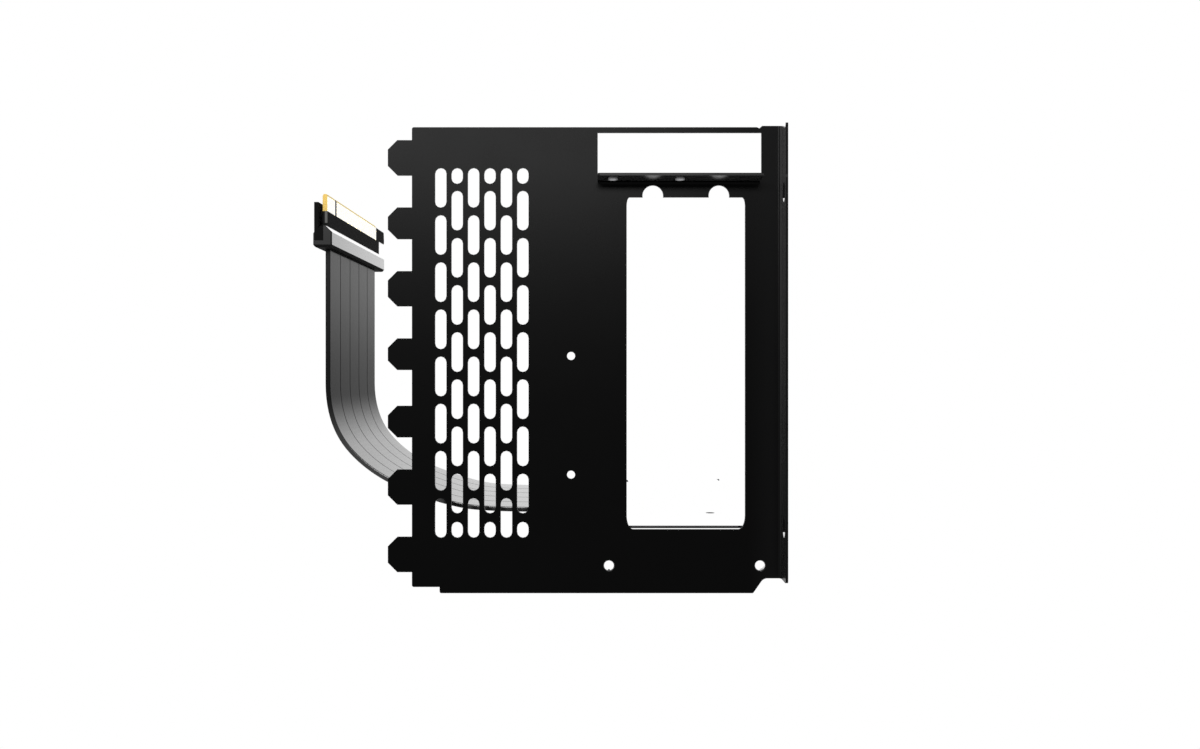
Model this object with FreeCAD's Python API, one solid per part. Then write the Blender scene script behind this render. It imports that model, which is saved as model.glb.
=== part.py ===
import FreeCAD, Part
import os
from math import cos, pi, sin, tan

V = FreeCAD.Vector

# A vertical graphics-card mount: a folded plate that takes the place of seven slot covers,
# a tray behind it that carries a riser socket, and a flat ribbon that ends in an edge plug.
# Frame: the origin lies midway between the two case slots, on the side flange's outer face.
# X points out of that face, Y into the case and Z up. All sizes are in millimetres.

# Rear plate: one sheet with a side flange and a card shelf folded outwards
SHEET = 0.8
BEND = 0.9
SLOT_COUNT = 7
SLOT_PITCH = 20.32
PLATE_MARGIN = 0.96
PLATE_WIDTH = 114.2
PLATE_SETBACK = 5.5
PLATE_CORNER = 0.6
FOOT_STEP_WIDTH = 8.5
FOOT_STEP_RISE = 1.9

# Tongues that reach behind the case's slot bars: each one's width and lift, from the top down
TONGUE_PATTERN = "WNWNNWW"
TONGUE_WIDE = 10.85
TONGUE_NARROW = 9.75
TONGUE_LIFTS = (0.0, 0.2, 0.4, 0.6, 0.2, 0.4, 0.0)
TONGUE_LENGTH = 7.4
TONGUE_CHAMFER = 2.9
TONGUE_TOP_MARGIN = 9.4

# Side flange with the two case slots, and the plate's corners above and below its fold
FLANGE_FRONT = 3.5
FLANGE_DIP = 2.4
FLANGE_PEAK = 0.6
FLANGE_PEAK_DROP = 0.9
FLANGE_CORNER = 0.8
CASE_SLOT_WIDTH = 4.0
CASE_SLOT_LENGTH = 6.0
CASE_SLOT_PITCHES = 5
EAR_WIDTH = 6.6
EAR_RISE = 0.4
EAR_NOTCH = 0.35
EAR_NOTCH_WIDTH = 1.6
HEEL_RISE = 4.55
HEEL_START = 9.35
HEEL_SLOPE = 3.2
HEEL_ROUND_LOW = 0.4
HEEL_ROUND_HIGH = 2.2

# Staggered vents
VENT_COLUMNS = 6
VENT_ROWS = 8
VENT_PITCH = 5.045
VENT_WIDTH = 3.53
VENT_LENGTH = 12.2
VENT_GAP = 2.3
VENT_SHORT = 4.9
VENT_STAGGER = 7.0
VENT_LEFT_MARGIN = 8.85
VENT_TOP_MARGIN = 12.5

# Bracket window and the card shelf folded out of it
SHELF_WINDOW_WIDTH = 50.3
SHELF_WINDOW_HEIGHT = 14.2
SHELF_WINDOW_RIGHT = 6.8
SHELF_STRIP = 1.7
SHELF_DEPTH = 11.0
SHELF_CORNER = 0.8
SHELF_SLIT = 0.15
SHELF_GAP_RIGHT = 0.57
SHELF_HOLE_DIAMETER = 3.0
SHELF_HOLE_SETBACK = 5.2
SHELF_HOLE_LEFT = 4.45

# Card window with two screwdriver notches; each corner is a quarter of a tall ellipse
WINDOW_WIDTH = 36.4
WINDOW_RIGHT = 11.8
WINDOW_BELOW_SHELF = 5.65
WINDOW_BELOW_TRAY = 0.74
WINDOW_TOP_CORNER_WIDTH = 0.9
WINDOW_TOP_CORNER_HEIGHT = 2.6
WINDOW_FOOT_CORNER_WIDTH = 2.0
WINDOW_FOOT_CORNER_HEIGHT = 4.3
NOTCH_DIAMETER = 6.36
NOTCH_RISE = 0.5

# Pair of small accessory holes
ACCESSORY_DIAMETER = 2.5
ACCESSORY_SPACING = 36.5
ACCESSORY_LEFT = 17.1
ACCESSORY_TOP = 48.75

# Tray: a folded sheet held to the plate by two tabs
TRAY_SHEET = 0.8
TRAY_BEND = 0.6
TRAY_RISE = 20.34
TRAY_RIGHT = 3.0
TRAY_WIDTH = 65.4
TRAY_FRONT_GAP = 2.6
TRAY_LENGTH = 166.6
TRAY_FLANGE = 8.0
TRAY_FLANGE_START = 6.0
TRAY_CORNER = 2.0
TRAY_HOLE_DIAMETER = 3.0
TRAY_HOLE_RIGHT = 16.1
TRAY_HOLE_FRONT = 33.4
TRAY_OPENING_RIGHT = 41.05
TRAY_OPENING_WIDTH = 14.0
TRAY_OPENING_FRONT = 40.4
TRAY_OPENING_LENGTH = 115.9
TRAY_OPENING_CORNER = 1.0
TAB_WIDTH = 8.0
TAB_TAIL = 3.9
TAB_SCREW_DIAMETER = 3.0
TAB_SCREW_PASSAGE = 3.5
TAB_SCREW_DROP = 11.94
TAB_LEFT_MARGIN = 5.45
TAB_RIGHT_MARGIN = 4.65
COLLAR_WALL = 0.9
COLLAR_LENGTH = 1.4

# Card edge and its contacts, shared by the plug and the socket
BOARD_THICKNESS = 1.6
CONTACT_PITCH = 1.0
EDGE_SHORT = 11.65
EDGE_KEY = 1.9
EDGE_LONG = 71.65

# Socket on its board, with an insulating film under it and a steel shield round it
FILM_THICKNESS = 0.25
BOARD_OVERHANG = 2.6
BOARD_NEAR_MARGIN = 2.0
BOARD_FAR_MARGIN = 5.8
SOCKET_BESIDE_WINDOW = 3.8
SOCKET_SETBACK = 45.3
SOCKET_WIDTH = 7.5
SOCKET_HEIGHT = 10.95
SOCKET_END_WALL = 1.9
GROOVE_CLEARANCE = 0.2
GROOVE_DEPTH = 8.4
CONTACT_LIP = 1.0
CONTACT_RECESS = 0.85
CONTACT_CREST = 0.75
CONTACT_WIDTH = 0.5
CONTACT_HEIGHT = 6.6
CONTACT_CREST_HEIGHT = 4.4
SHIELD_WALL = 0.3
SHIELD_MOUTH = 2.6
SHIELD_MOUTH_END = 0.6
BOARD_SCREW_DIAMETER = 2.5
BOARD_SCREW_HEAD = 5.0
BOARD_SCREW_HEAD_HEIGHT = 1.6
BOARD_SCREW_INSET = 4.5
BOARD_SCREW_END_MARGIN = 5.0
SCREW_CLEARANCE = 0.1

# Ribbon of flat strips
STRIP_COUNT = 5
STRIP_WIDTH = 15.5
STRIP_GAP = 0.25
STRIP_THICKNESS = 1.6
RIBBON_START = 42.6
RIBBON_CLEARANCE = 0.2

# Clamp that holds the ribbon at the socket board
CLAMP_REACH = 7.9
CLAMP_LAP = 1.8
CLAMP_THICKNESS = 2.4
CLAMP_END = 6.0
CLAMP_CHAMFER = 0.8
CLAMP_SCREW_DIAMETER = 1.6
CLAMP_SCREW_HEAD = 2.8
CLAMP_SCREW_HEAD_HEIGHT = 0.9
CLAMP_SCREW_COVER = 0.8

# Edge plug at the far end of the ribbon
PLUG_X = -148.7
PLUG_TIP = 56.2
PLUG_EDGE_START = 38.6
FINGER_HEIGHT = 5.7
PLUG_SHOULDER = 10.9
PAD_WIDTH = 0.7
PAD_THICKNESS = 0.05
PAD_TIP_GAP = 0.1
EDGE_BEVEL = 0.35
EDGE_BEVEL_HEIGHT = 0.7
HOOK_GAP = 0.9
HOOK_LENGTH = 17.0
HOOK_TAPER = 1.2
HOOK_TIP_DROP = 0.4
HOOK_CORNER = 1.5
PLUG_BODY_EXTRA = 6.1

# Plug clamp: two halves that close on the plug's board and the ribbon
BAR_HEIGHT = 7.2
BAR_RIGHT = 2.1
BAR_LEFT = 2.6
BAR_FOOT_CHAMFER = 0.8
BAR_END_CHAMFER = 0.4
BAR_NEAR_MARGIN = 2.7
BAR_FAR_MARGIN = 0.6
BAR_SCREW_RISE = 2.2
BOARD_GRIP = 3.3
GUARD_THICKNESS = 1.4
GUARD_LENGTH = 6.6
GUARD_INSET = 0.3
GUARD_HEIGHT = 7.9

# Sides given to the small rounds that repeat: screws, their holes and the ends of the vents
ROUND_SIDES = 12

# Levels and edges that follow from the sizes above
PLATE_HEIGHT = SLOT_COUNT * SLOT_PITCH + PLATE_MARGIN
PLATE_TOP = PLATE_HEIGHT / 2
PLATE_BOTTOM = -PLATE_HEIGHT / 2
PLATE_LEFT = -PLATE_WIDTH
PLATE_FRONT = PLATE_SETBACK
PLATE_BACK = PLATE_FRONT + SHEET
FLANGE_FOLD = -SHEET - BEND
EAR_TOP = PLATE_TOP + EAR_RISE
HEEL = PLATE_BOTTOM + HEEL_RISE

SHELF_TOP = PLATE_TOP - SHELF_STRIP - SHELF_WINDOW_HEIGHT
SHELF_UNDER = SHELF_TOP - SHEET
SHELF_FOLD = SHELF_UNDER - BEND
SHELF_LEFT = -SHELF_WINDOW_RIGHT - SHELF_WINDOW_WIDTH + SHELF_SLIT
SHELF_RIGHT = -SHELF_WINDOW_RIGHT - SHELF_GAP_RIGHT

TRAY_TOP = PLATE_BOTTOM + TRAY_RISE
TRAY_UNDER = TRAY_TOP - TRAY_SHEET
TRAY_FOOT = TRAY_TOP - TRAY_FLANGE
TRAY_FOLD = TRAY_SHEET + TRAY_BEND
TRAY_LEFT = -TRAY_RIGHT - TRAY_WIDTH
TRAY_FRONT = PLATE_BACK + TRAY_FRONT_GAP
TRAY_BACK = TRAY_FRONT + TRAY_LENGTH
TRAY_SIDE_START = TRAY_FRONT + TRAY_FLANGE_START
TRAY_SIDE_END = TRAY_BACK - TRAY_FLANGE_START
OPENING_RIGHT = -TRAY_RIGHT - TRAY_OPENING_RIGHT
OPENING_NEAR = TRAY_FRONT + TRAY_OPENING_FRONT
OPENING_FAR = OPENING_NEAR + TRAY_OPENING_LENGTH

WINDOW_LEFT = -WINDOW_RIGHT - WINDOW_WIDTH
WINDOW_TOP = SHELF_TOP - WINDOW_BELOW_SHELF
WINDOW_FOOT = TRAY_TOP - WINDOW_BELOW_TRAY
TAB_SCREWS_X = (WINDOW_LEFT - TAB_LEFT_MARGIN, -WINDOW_RIGHT + TAB_RIGHT_MARGIN)
TAB_SCREW_Z = TRAY_TOP - TAB_SCREW_DROP

EDGE_LENGTH = EDGE_SHORT + EDGE_KEY + EDGE_LONG
BOARD_UNDER = TRAY_TOP + FILM_THICKNESS
BOARD_TOP = BOARD_UNDER + BOARD_THICKNESS
BOARD_MIDDLE = BOARD_UNDER + BOARD_THICKNESS / 2
BOARD_LEFT = TRAY_LEFT - BOARD_OVERHANG
SOCKET_X = WINDOW_LEFT - SOCKET_BESIDE_WINDOW
SOCKET_LEFT = SOCKET_X - SOCKET_WIDTH / 2
SOCKET_RIGHT = SOCKET_X + SOCKET_WIDTH / 2
SOCKET_NEAR = PLATE_FRONT + SOCKET_SETBACK + SHIELD_WALL
SOCKET_FAR = SOCKET_NEAR + EDGE_LENGTH + 2 * SOCKET_END_WALL
SOCKET_EDGE_START = SOCKET_NEAR + SOCKET_END_WALL
SOCKET_TOP = BOARD_TOP + SOCKET_HEIGHT
GROOVE_FLOOR = SOCKET_TOP - GROOVE_DEPTH
GROOVE_HALF = (BOARD_THICKNESS + GROOVE_CLEARANCE) / 2
BOARD_RIGHT = SOCKET_RIGHT + SHIELD_WALL
BOARD_NEAR = RIBBON_START - BOARD_NEAR_MARGIN
BOARD_FAR = OPENING_FAR + BOARD_FAR_MARGIN
BOARD_SCREW_X = TRAY_LEFT + BOARD_SCREW_INSET
BOARD_SCREWS_Y = (BOARD_NEAR + BOARD_SCREW_END_MARGIN, BOARD_FAR - BOARD_SCREW_END_MARGIN)

RIBBON_END = RIBBON_START + STRIP_COUNT * STRIP_WIDTH + (STRIP_COUNT - 1) * STRIP_GAP
GRIP = max(BOARD_THICKNESS, STRIP_THICKNESS) / 2
CLAMP_X = (BOARD_LEFT - CLAMP_REACH, BOARD_LEFT + CLAMP_LAP)
CLAMP_Y = (RIBBON_START - CLAMP_END, RIBBON_END + CLAMP_END)
CLAMP_SCREW_X = BOARD_LEFT - CLAMP_REACH / 2
CLAMP_SCREWS_Y = (RIBBON_START - CLAMP_END / 2, RIBBON_END + CLAMP_END / 2)

FINGER_BASE = PLUG_TIP - FINGER_HEIGHT
BAR_TOP = PLUG_TIP - PLUG_SHOULDER
BAR_BOTTOM = BAR_TOP - BAR_HEIGHT
BUTT = BAR_TOP - BOARD_GRIP
PLUG_EDGE_END = PLUG_EDGE_START + EDGE_LENGTH
PLUG_BODY_END = PLUG_EDGE_END + PLUG_BODY_EXTRA
BAR_X = (PLUG_X - GRIP - BAR_LEFT, PLUG_X + GRIP + BAR_RIGHT)
BAR_Y = (PLUG_EDGE_START - BAR_NEAR_MARGIN, PLUG_BODY_END + BAR_FAR_MARGIN)
BAR_SCREWS_Y = ((BAR_Y[0] + RIBBON_START) / 2, (RIBBON_END + BAR_Y[1]) / 2)
BAR_SCREW_Z = BAR_BOTTOM + BAR_SCREW_RISE
BAR_SCREW_DEPTH = BAR_X[1] - BAR_X[0] - CLAMP_SCREW_COVER

# The ribbon's route from the plug to the socket board, in X and Z
ROUTE = [
    (PLUG_X, BUTT),
    (PLUG_X, -20.7),
    (-134.9, -37.4),
    (-108.5, -48.5),
    (-88.3, BOARD_MIDDLE),
    (BOARD_LEFT, BOARD_MIDDLE),
]
ROUTE_ARC_SHARE = 0.45


# Turning a flat pair of numbers into a point of one of the three planes
def in_xz(a, b):
    return V(a, 0, b)


def in_yz(a, b):
    return V(0, a, b)


def in_xy(a, b):
    return V(a, b, 0)


ACROSS = {in_xz: V(0, 1, 0), in_yz: V(1, 0, 0), in_xy: V(0, 0, 1)}


# Outlines and simple solids
def rounding(before, corner, after, radius):
    """The start, middle and end of the arc that rounds one corner."""
    back = (before - corner).normalize()
    ahead = (after - corner).normalize()
    half = back.getAngle(ahead) / 2
    reach = radius / tan(half)
    inward = (back + ahead).normalize()
    return corner + back * reach, corner + inward * (radius / sin(half) - radius), corner + ahead * reach


def closed_wire(corners, plane):
    """A closed outline through (a, b) or (a, b, radius) corners in the given plane."""
    points = [plane(corner[0], corner[1]) for corner in corners]
    stops = []
    for i, corner in enumerate(corners):
        stop = (points[i],)
        if len(corner) == 3:
            stop = rounding(points[i - 1], points[i], points[(i + 1) % len(points)], corner[2])
        stops.append(stop)
    edges = []
    for i, stop in enumerate(stops):
        if len(stop) == 3:
            edges.append(Part.Arc(*stop).toShape())
        ahead = stops[(i + 1) % len(stops)][0]
        if not stop[-1].isEqual(ahead, 1e-6):
            edges.append(Part.LineSegment(stop[-1], ahead).toShape())
    return Part.Wire(edges)


def prism(corners, plane, span):
    """An outline made solid between two places along the axis that its plane leaves out."""
    face = Part.Face(closed_wire(corners, plane))
    face.translate(ACROSS[plane] * span[0])
    return face.extrude(ACROSS[plane] * (span[1] - span[0]))


def box(x, y, z):
    """A box between the two numbers given for each axis."""
    return Part.makeBox(x[1] - x[0], y[1] - y[0], z[1] - z[0], V(x[0], y[0], z[0]))


def rod(foot, axis, diameter, length):
    return Part.makeCylinder(diameter / 2, length, foot, axis)


def slot_corners(a, b, width, length):
    """An upright slot with round ends about the point (a, b)."""
    half = width / 2
    reach = length / 2
    return [(a - half, b - reach, half), (a + half, b - reach, half),
            (a + half, b + reach, half), (a - half, b + reach, half)]


def fold_corners(root, corner, free, thickness, bend):
    """The section of a right-angled fold, from the three points of its outer face."""
    root, corner, free = [V(a, b, 0) for a, b in (root, corner, free)]
    to_root = (root - corner).normalize() * thickness
    to_free = (free - corner).normalize() * thickness
    inner = corner + to_root + to_free
    outer_bend = bend + thickness
    stops = [(root,), (corner, outer_bend), (free,), (free + to_root,), (inner, bend), (root + to_free,)]
    return [(stop[0].x, stop[0].y) + stop[1:] for stop in stops]


def many_sided(a, b, diameter):
    """A small round about the point (a, b), as the corners of a regular polygon."""
    turns = [2 * pi * i / ROUND_SIDES for i in range(ROUND_SIDES)]
    return [(a + diameter / 2 * cos(turn), b + diameter / 2 * sin(turn)) for turn in turns]


def uprights(x, places, diameter, span):
    """A small upright round at each of the places along Y."""
    return [prism(many_sided(x, y, diameter), in_xy, span) for y in places]


def merged(solids):
    """Touching solids joined into one, without the seams between their flat faces."""
    return solids[0].fuse(solids[1:]).removeSplitter()


# Rear plate
def plate_outline():
    """The flat plate's edge: up the left side over the tongues, along the top and back."""
    step_x = PLATE_LEFT + FOOT_STEP_WIDTH
    step_z = PLATE_BOTTOM + FOOT_STEP_RISE
    corners = [(step_x, PLATE_BOTTOM, PLATE_CORNER), (step_x, step_z), (PLATE_LEFT, step_z, PLATE_CORNER)]
    tip = PLATE_LEFT - TONGUE_LENGTH
    shoulder = tip + TONGUE_CHAMFER
    for i in reversed(range(SLOT_COUNT)):
        width = TONGUE_WIDE if TONGUE_PATTERN[i] == "W" else TONGUE_NARROW
        low = PLATE_TOP - TONGUE_TOP_MARGIN - i * SLOT_PITCH + TONGUE_LIFTS[i] - width / 2
        high = low + width
        corners += [(PLATE_LEFT, low), (shoulder, low), (tip, low + TONGUE_CHAMFER),
                    (tip, high - TONGUE_CHAMFER), (shoulder, high), (PLATE_LEFT, high)]
    corners += [(PLATE_LEFT, PLATE_TOP, PLATE_CORNER),
                (-EAR_WIDTH - EAR_NOTCH_WIDTH, PLATE_TOP),
                (-EAR_WIDTH - EAR_NOTCH_WIDTH / 2, PLATE_TOP - EAR_NOTCH),
                (-EAR_WIDTH, EAR_TOP),
                (FLANGE_FOLD, EAR_TOP),
                (FLANGE_FOLD, HEEL),
                (HEEL_SLOPE - HEEL_START, HEEL, HEEL_ROUND_HIGH),
                (-HEEL_START, PLATE_BOTTOM, HEEL_ROUND_LOW)]
    return corners


def vent_corners(x, high, length):
    """One vent from its top end down, with many-sided round ends."""
    half = VENT_WIDTH / 2
    sides = ROUND_SIDES // 2
    turns = [pi * i / sides for i in range(sides + 1)]
    upper = [(x + half * cos(turn), high - half + half * sin(turn)) for turn in turns]
    lower = [(x - half * cos(turn), high - length + half - half * sin(turn)) for turn in turns]
    return upper + lower


def vent_outlines():
    """Every other column is staggered, with a short vent at each end of the field."""
    top = PLATE_TOP - VENT_TOP_MARGIN
    pitch = VENT_LENGTH + VENT_GAP
    foot = top - (VENT_ROWS - 1) * pitch - VENT_LENGTH
    outlines = []
    for column in range(VENT_COLUMNS):
        x = PLATE_LEFT + VENT_LEFT_MARGIN + column * VENT_PITCH
        if column % 2:
            spans = [(top - VENT_STAGGER - row * pitch, VENT_LENGTH) for row in range(VENT_ROWS - 1)]
            spans += [(top, VENT_SHORT), (foot + VENT_SHORT, VENT_SHORT)]
        else:
            spans = [(top - row * pitch, VENT_LENGTH) for row in range(VENT_ROWS)]
        outlines += [vent_corners(x, high, length) for high, length in spans]
    return outlines


def card_window():
    """The large opening of the plate, and the two round notches at its top."""
    top = (WINDOW_TOP, WINDOW_TOP_CORNER_WIDTH, WINDOW_TOP_CORNER_HEIGHT)
    foot = (WINDOW_FOOT, WINDOW_FOOT_CORNER_WIDTH, WINDOW_FOOT_CORNER_HEIGHT)
    edges = []
    stops = []
    for x_side, z_side in ((1, 1), (1, -1), (-1, -1), (-1, 1)):
        x = -WINDOW_RIGHT if x_side > 0 else WINDOW_LEFT
        z, wide, tall = top if z_side > 0 else foot
        centre = V(x - x_side * wide, PLATE_FRONT, z - z_side * tall)
        upright = centre + V(0, 0, z_side * tall)
        sideways = centre + V(x_side * wide, 0, 0)
        ellipse = Part.Ellipse(upright, sideways, centre)
        edges.append(Part.ArcOfEllipse(ellipse, 0, pi / 2).toShape())
        stops += [upright, sideways] if x_side == z_side else [sideways, upright]
    for i in range(1, 8, 2):
        edges.append(Part.LineSegment(stops[i], stops[(i + 1) % 8]).toShape())
    face = Part.Face(Part.Wire(Part.__sortEdges__(edges)))
    middle = (WINDOW_LEFT - WINDOW_RIGHT) / 2
    notches = [rod(V(middle + side * SLOT_PITCH / 2, PLATE_FRONT, WINDOW_TOP + NOTCH_RISE),
                   V(0, 1, 0), NOTCH_DIAMETER, SHEET) for side in (-1, 1)]
    return face.extrude(V(0, SHEET, 0)).fuse(notches)


def shelf_window():
    """The opening that the shelf was folded out of, with a slit at each end of the fold."""
    left = SHELF_LEFT - SHELF_SLIT
    right = -SHELF_WINDOW_RIGHT
    top = PLATE_TOP - SHELF_STRIP
    slit = SHELF_RIGHT + SHELF_SLIT
    return [(left, top), (right, top), (right, SHELF_TOP), (slit, SHELF_TOP), (slit, SHELF_FOLD),
            (left, SHELF_FOLD)]


def shelf():
    """The card shelf with its fold and the two holes for the card's bracket."""
    front = PLATE_FRONT - SHELF_DEPTH
    section = fold_corners((PLATE_BACK, SHELF_FOLD), (PLATE_BACK, SHELF_TOP), (front, SHELF_TOP), SHEET, BEND)
    plan = [(SHELF_LEFT, PLATE_BACK), (SHELF_LEFT, front, SHELF_CORNER),
            (SHELF_RIGHT, front, SHELF_CORNER), (SHELF_RIGHT, PLATE_BACK)]
    sheet = prism(section, in_yz, (SHELF_LEFT, SHELF_RIGHT))
    first = V(SHELF_LEFT + SHELF_HOLE_LEFT, PLATE_FRONT - SHELF_HOLE_SETBACK, SHELF_UNDER)
    holes = [rod(first + V(i * SLOT_PITCH, 0, 0), V(0, 0, 1), SHELF_HOLE_DIAMETER, SHEET) for i in range(2)]
    return sheet.common(prism(plan, in_xy, (SHELF_FOLD, SHELF_TOP))).cut(holes)


def side_flange():
    """The flange that lies against the case, with its fold, two upright slots and a dipped top edge."""
    section = fold_corners((FLANGE_FOLD, PLATE_BACK), (0, PLATE_BACK), (0, -FLANGE_FRONT), SHEET, BEND)
    side = [(PLATE_BACK, HEEL), (PLATE_BACK, EAR_TOP), (PLATE_FRONT, EAR_TOP),
            (FLANGE_PEAK - FLANGE_FRONT, EAR_TOP - FLANGE_DIP), (-FLANGE_FRONT, EAR_TOP - FLANGE_PEAK_DROP),
            (-FLANGE_FRONT, HEEL, FLANGE_CORNER)]
    sheet = prism(section, in_xy, (HEEL, EAR_TOP)).common(prism(side, in_yz, (FLANGE_FOLD, 0)))
    reach = CASE_SLOT_PITCHES * SLOT_PITCH / 2
    slots = [prism(slot_corners(0, place, CASE_SLOT_WIDTH, CASE_SLOT_LENGTH), in_yz, (-SHEET, 0))
             for place in (-reach, reach)]
    return sheet.cut(slots)


def rear_plate():
    openings = [closed_wire(outline, in_xz) for outline in vent_outlines() + [shelf_window()]]
    flat = Part.makeFace([closed_wire(plate_outline(), in_xz)] + openings, "Part::FaceMakerBullseye")
    flat.translate(V(0, PLATE_FRONT, 0))
    flat = flat.extrude(V(0, SHEET, 0))
    into_case = V(0, 1, 0)
    accessory_x = WINDOW_LEFT - ACCESSORY_LEFT
    accessory_z = WINDOW_TOP - ACCESSORY_TOP
    holes = [rod(V(accessory_x, PLATE_FRONT, accessory_z - i * ACCESSORY_SPACING), into_case,
                 ACCESSORY_DIAMETER, SHEET) for i in range(2)]
    holes += [rod(V(x, PLATE_FRONT, TAB_SCREW_Z), into_case, TAB_SCREW_PASSAGE, SHEET) for x in TAB_SCREWS_X]
    return merged([flat.cut([card_window()] + holes), side_flange(), shelf()])


# Riser tray
def tray_outline():
    """The flat of the tray, from fold to fold, with its full width left at the four corners."""
    right = -TRAY_RIGHT
    tab_fold = PLATE_BACK + TRAY_FOLD
    corners = [(TRAY_LEFT, TRAY_FRONT, TRAY_CORNER)]
    for x in TAB_SCREWS_X:
        left = x - TAB_WIDTH / 2
        corners += [(left, TRAY_FRONT), (left, tab_fold),
                    (left + TAB_WIDTH, tab_fold), (left + TAB_WIDTH, TRAY_FRONT)]
    corners += [(right, TRAY_FRONT), (right, TRAY_SIDE_START), (right - TRAY_FOLD, TRAY_SIDE_START),
                (right - TRAY_FOLD, TRAY_SIDE_END), (right, TRAY_SIDE_END), (right, TRAY_BACK, TRAY_CORNER),
                (TRAY_LEFT, TRAY_BACK, TRAY_CORNER), (TRAY_LEFT, TRAY_SIDE_END),
                (TRAY_LEFT + TRAY_FOLD, TRAY_SIDE_END), (TRAY_LEFT + TRAY_FOLD, TRAY_SIDE_START),
                (TRAY_LEFT, TRAY_SIDE_START)]
    return corners


def tray_tab(x):
    """A front tab folded down against the plate's back, with a threaded collar behind its hole."""
    tail = TAB_SCREW_Z - TAB_TAIL
    sides = (x - TAB_WIDTH / 2, x + TAB_WIDTH / 2)
    section = fold_corners((PLATE_BACK + TRAY_FOLD, TRAY_TOP), (PLATE_BACK, TRAY_TOP), (PLATE_BACK, tail),
                           TRAY_SHEET, TRAY_BEND)
    front = [(sides[0], TRAY_TOP), (sides[0], tail, TRAY_CORNER), (sides[1], tail, TRAY_CORNER),
             (sides[1], TRAY_TOP)]
    sheet = prism(section, in_yz, sides).common(prism(front, in_xz, (PLATE_BACK, PLATE_BACK + TRAY_FOLD)))
    centre = V(x, PLATE_BACK, TAB_SCREW_Z)
    into_case = V(0, 1, 0)
    depth = TRAY_SHEET + COLLAR_LENGTH
    collar = rod(centre, into_case, TAB_SCREW_DIAMETER + 2 * COLLAR_WALL, depth)
    return merged([sheet, collar]).cut(rod(centre, into_case, TAB_SCREW_DIAMETER, depth))


def tray_skirts():
    """The stiffening flanges, turned down along both sides; the back edge is plain."""
    skirts = []
    for outer, inward in ((TRAY_LEFT, 1), (-TRAY_RIGHT, -1)):
        section = fold_corners((outer + inward * TRAY_FOLD, TRAY_TOP), (outer, TRAY_TOP), (outer, TRAY_FOOT),
                               TRAY_SHEET, TRAY_BEND)
        skirts.append(prism(section, in_xz, (TRAY_SIDE_START, TRAY_SIDE_END)))
    return skirts


def riser_tray():
    """The tray with an opening under the socket's pins and a collar for each board screw."""
    flat = prism(tray_outline(), in_xy, (TRAY_UNDER, TRAY_TOP))
    collar_foot = TRAY_UNDER - COLLAR_LENGTH
    bore = BOARD_SCREW_DIAMETER + SCREW_CLEARANCE
    collars = uprights(BOARD_SCREW_X, BOARD_SCREWS_Y, bore + 2 * COLLAR_WALL, (collar_foot, TRAY_UNDER))
    cuts = board_screw_holes(collar_foot, TRAY_TOP)
    cuts.append(rod(V(-TRAY_RIGHT - TRAY_HOLE_RIGHT, TRAY_FRONT + TRAY_HOLE_FRONT, TRAY_UNDER), V(0, 0, 1),
                    TRAY_HOLE_DIAMETER, TRAY_SHEET))
    left = OPENING_RIGHT - TRAY_OPENING_WIDTH
    opening = [(x, y, TRAY_OPENING_CORNER) for x, y in ((left, OPENING_NEAR), (OPENING_RIGHT, OPENING_NEAR),
                                                        (OPENING_RIGHT, OPENING_FAR), (left, OPENING_FAR))]
    cuts.append(prism(opening, in_xy, (TRAY_UNDER, TRAY_TOP)))
    tabs = [tray_tab(x) for x in TAB_SCREWS_X]
    return merged([flat] + tabs + tray_skirts() + collars).cut(cuts)


# Socket, its board and its clamp
def board_screw_holes(low, high):
    return uprights(BOARD_SCREW_X, BOARD_SCREWS_Y, BOARD_SCREW_DIAMETER + SCREW_CLEARANCE, (low, high))


def insulating_film():
    """A film on the tray, as wide as the tray's flat under the board allows."""
    film = box((TRAY_LEFT + TRAY_FOLD, BOARD_RIGHT), (BOARD_NEAR, BOARD_FAR), (TRAY_TOP, BOARD_UNDER))
    return film.cut(board_screw_holes(TRAY_TOP, BOARD_UNDER))


def socket_board():
    board = box((BOARD_LEFT, BOARD_RIGHT), (BOARD_NEAR, BOARD_FAR), (BOARD_UNDER, BOARD_TOP))
    return board.cut(board_screw_holes(BOARD_UNDER, BOARD_TOP))


def board_screws():
    """Two screws down through the board and the film into the tray's collars."""
    places = (BOARD_SCREW_X, BOARD_SCREWS_Y)
    shanks = uprights(*places, BOARD_SCREW_DIAMETER, (TRAY_UNDER - COLLAR_LENGTH, BOARD_TOP))
    heads = uprights(*places, BOARD_SCREW_HEAD, (BOARD_TOP, BOARD_TOP + BOARD_SCREW_HEAD_HEIGHT))
    return Part.makeCompound([head.fuse(shank) for head, shank in zip(heads, shanks)])


def edge_sections(start):
    """The card edge's two rows as (start, length), on each side of the key."""
    return [(start, EDGE_SHORT), (start + EDGE_SHORT + EDGE_KEY, EDGE_LONG)]


def contact_places(start):
    """The middle of every contact along a card edge."""
    places = []
    for begin, length in edge_sections(start):
        count = int(length / CONTACT_PITCH)
        first = begin + (length - (count - 1) * CONTACT_PITCH) / 2
        places += [first + i * CONTACT_PITCH for i in range(count)]
    return places


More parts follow.
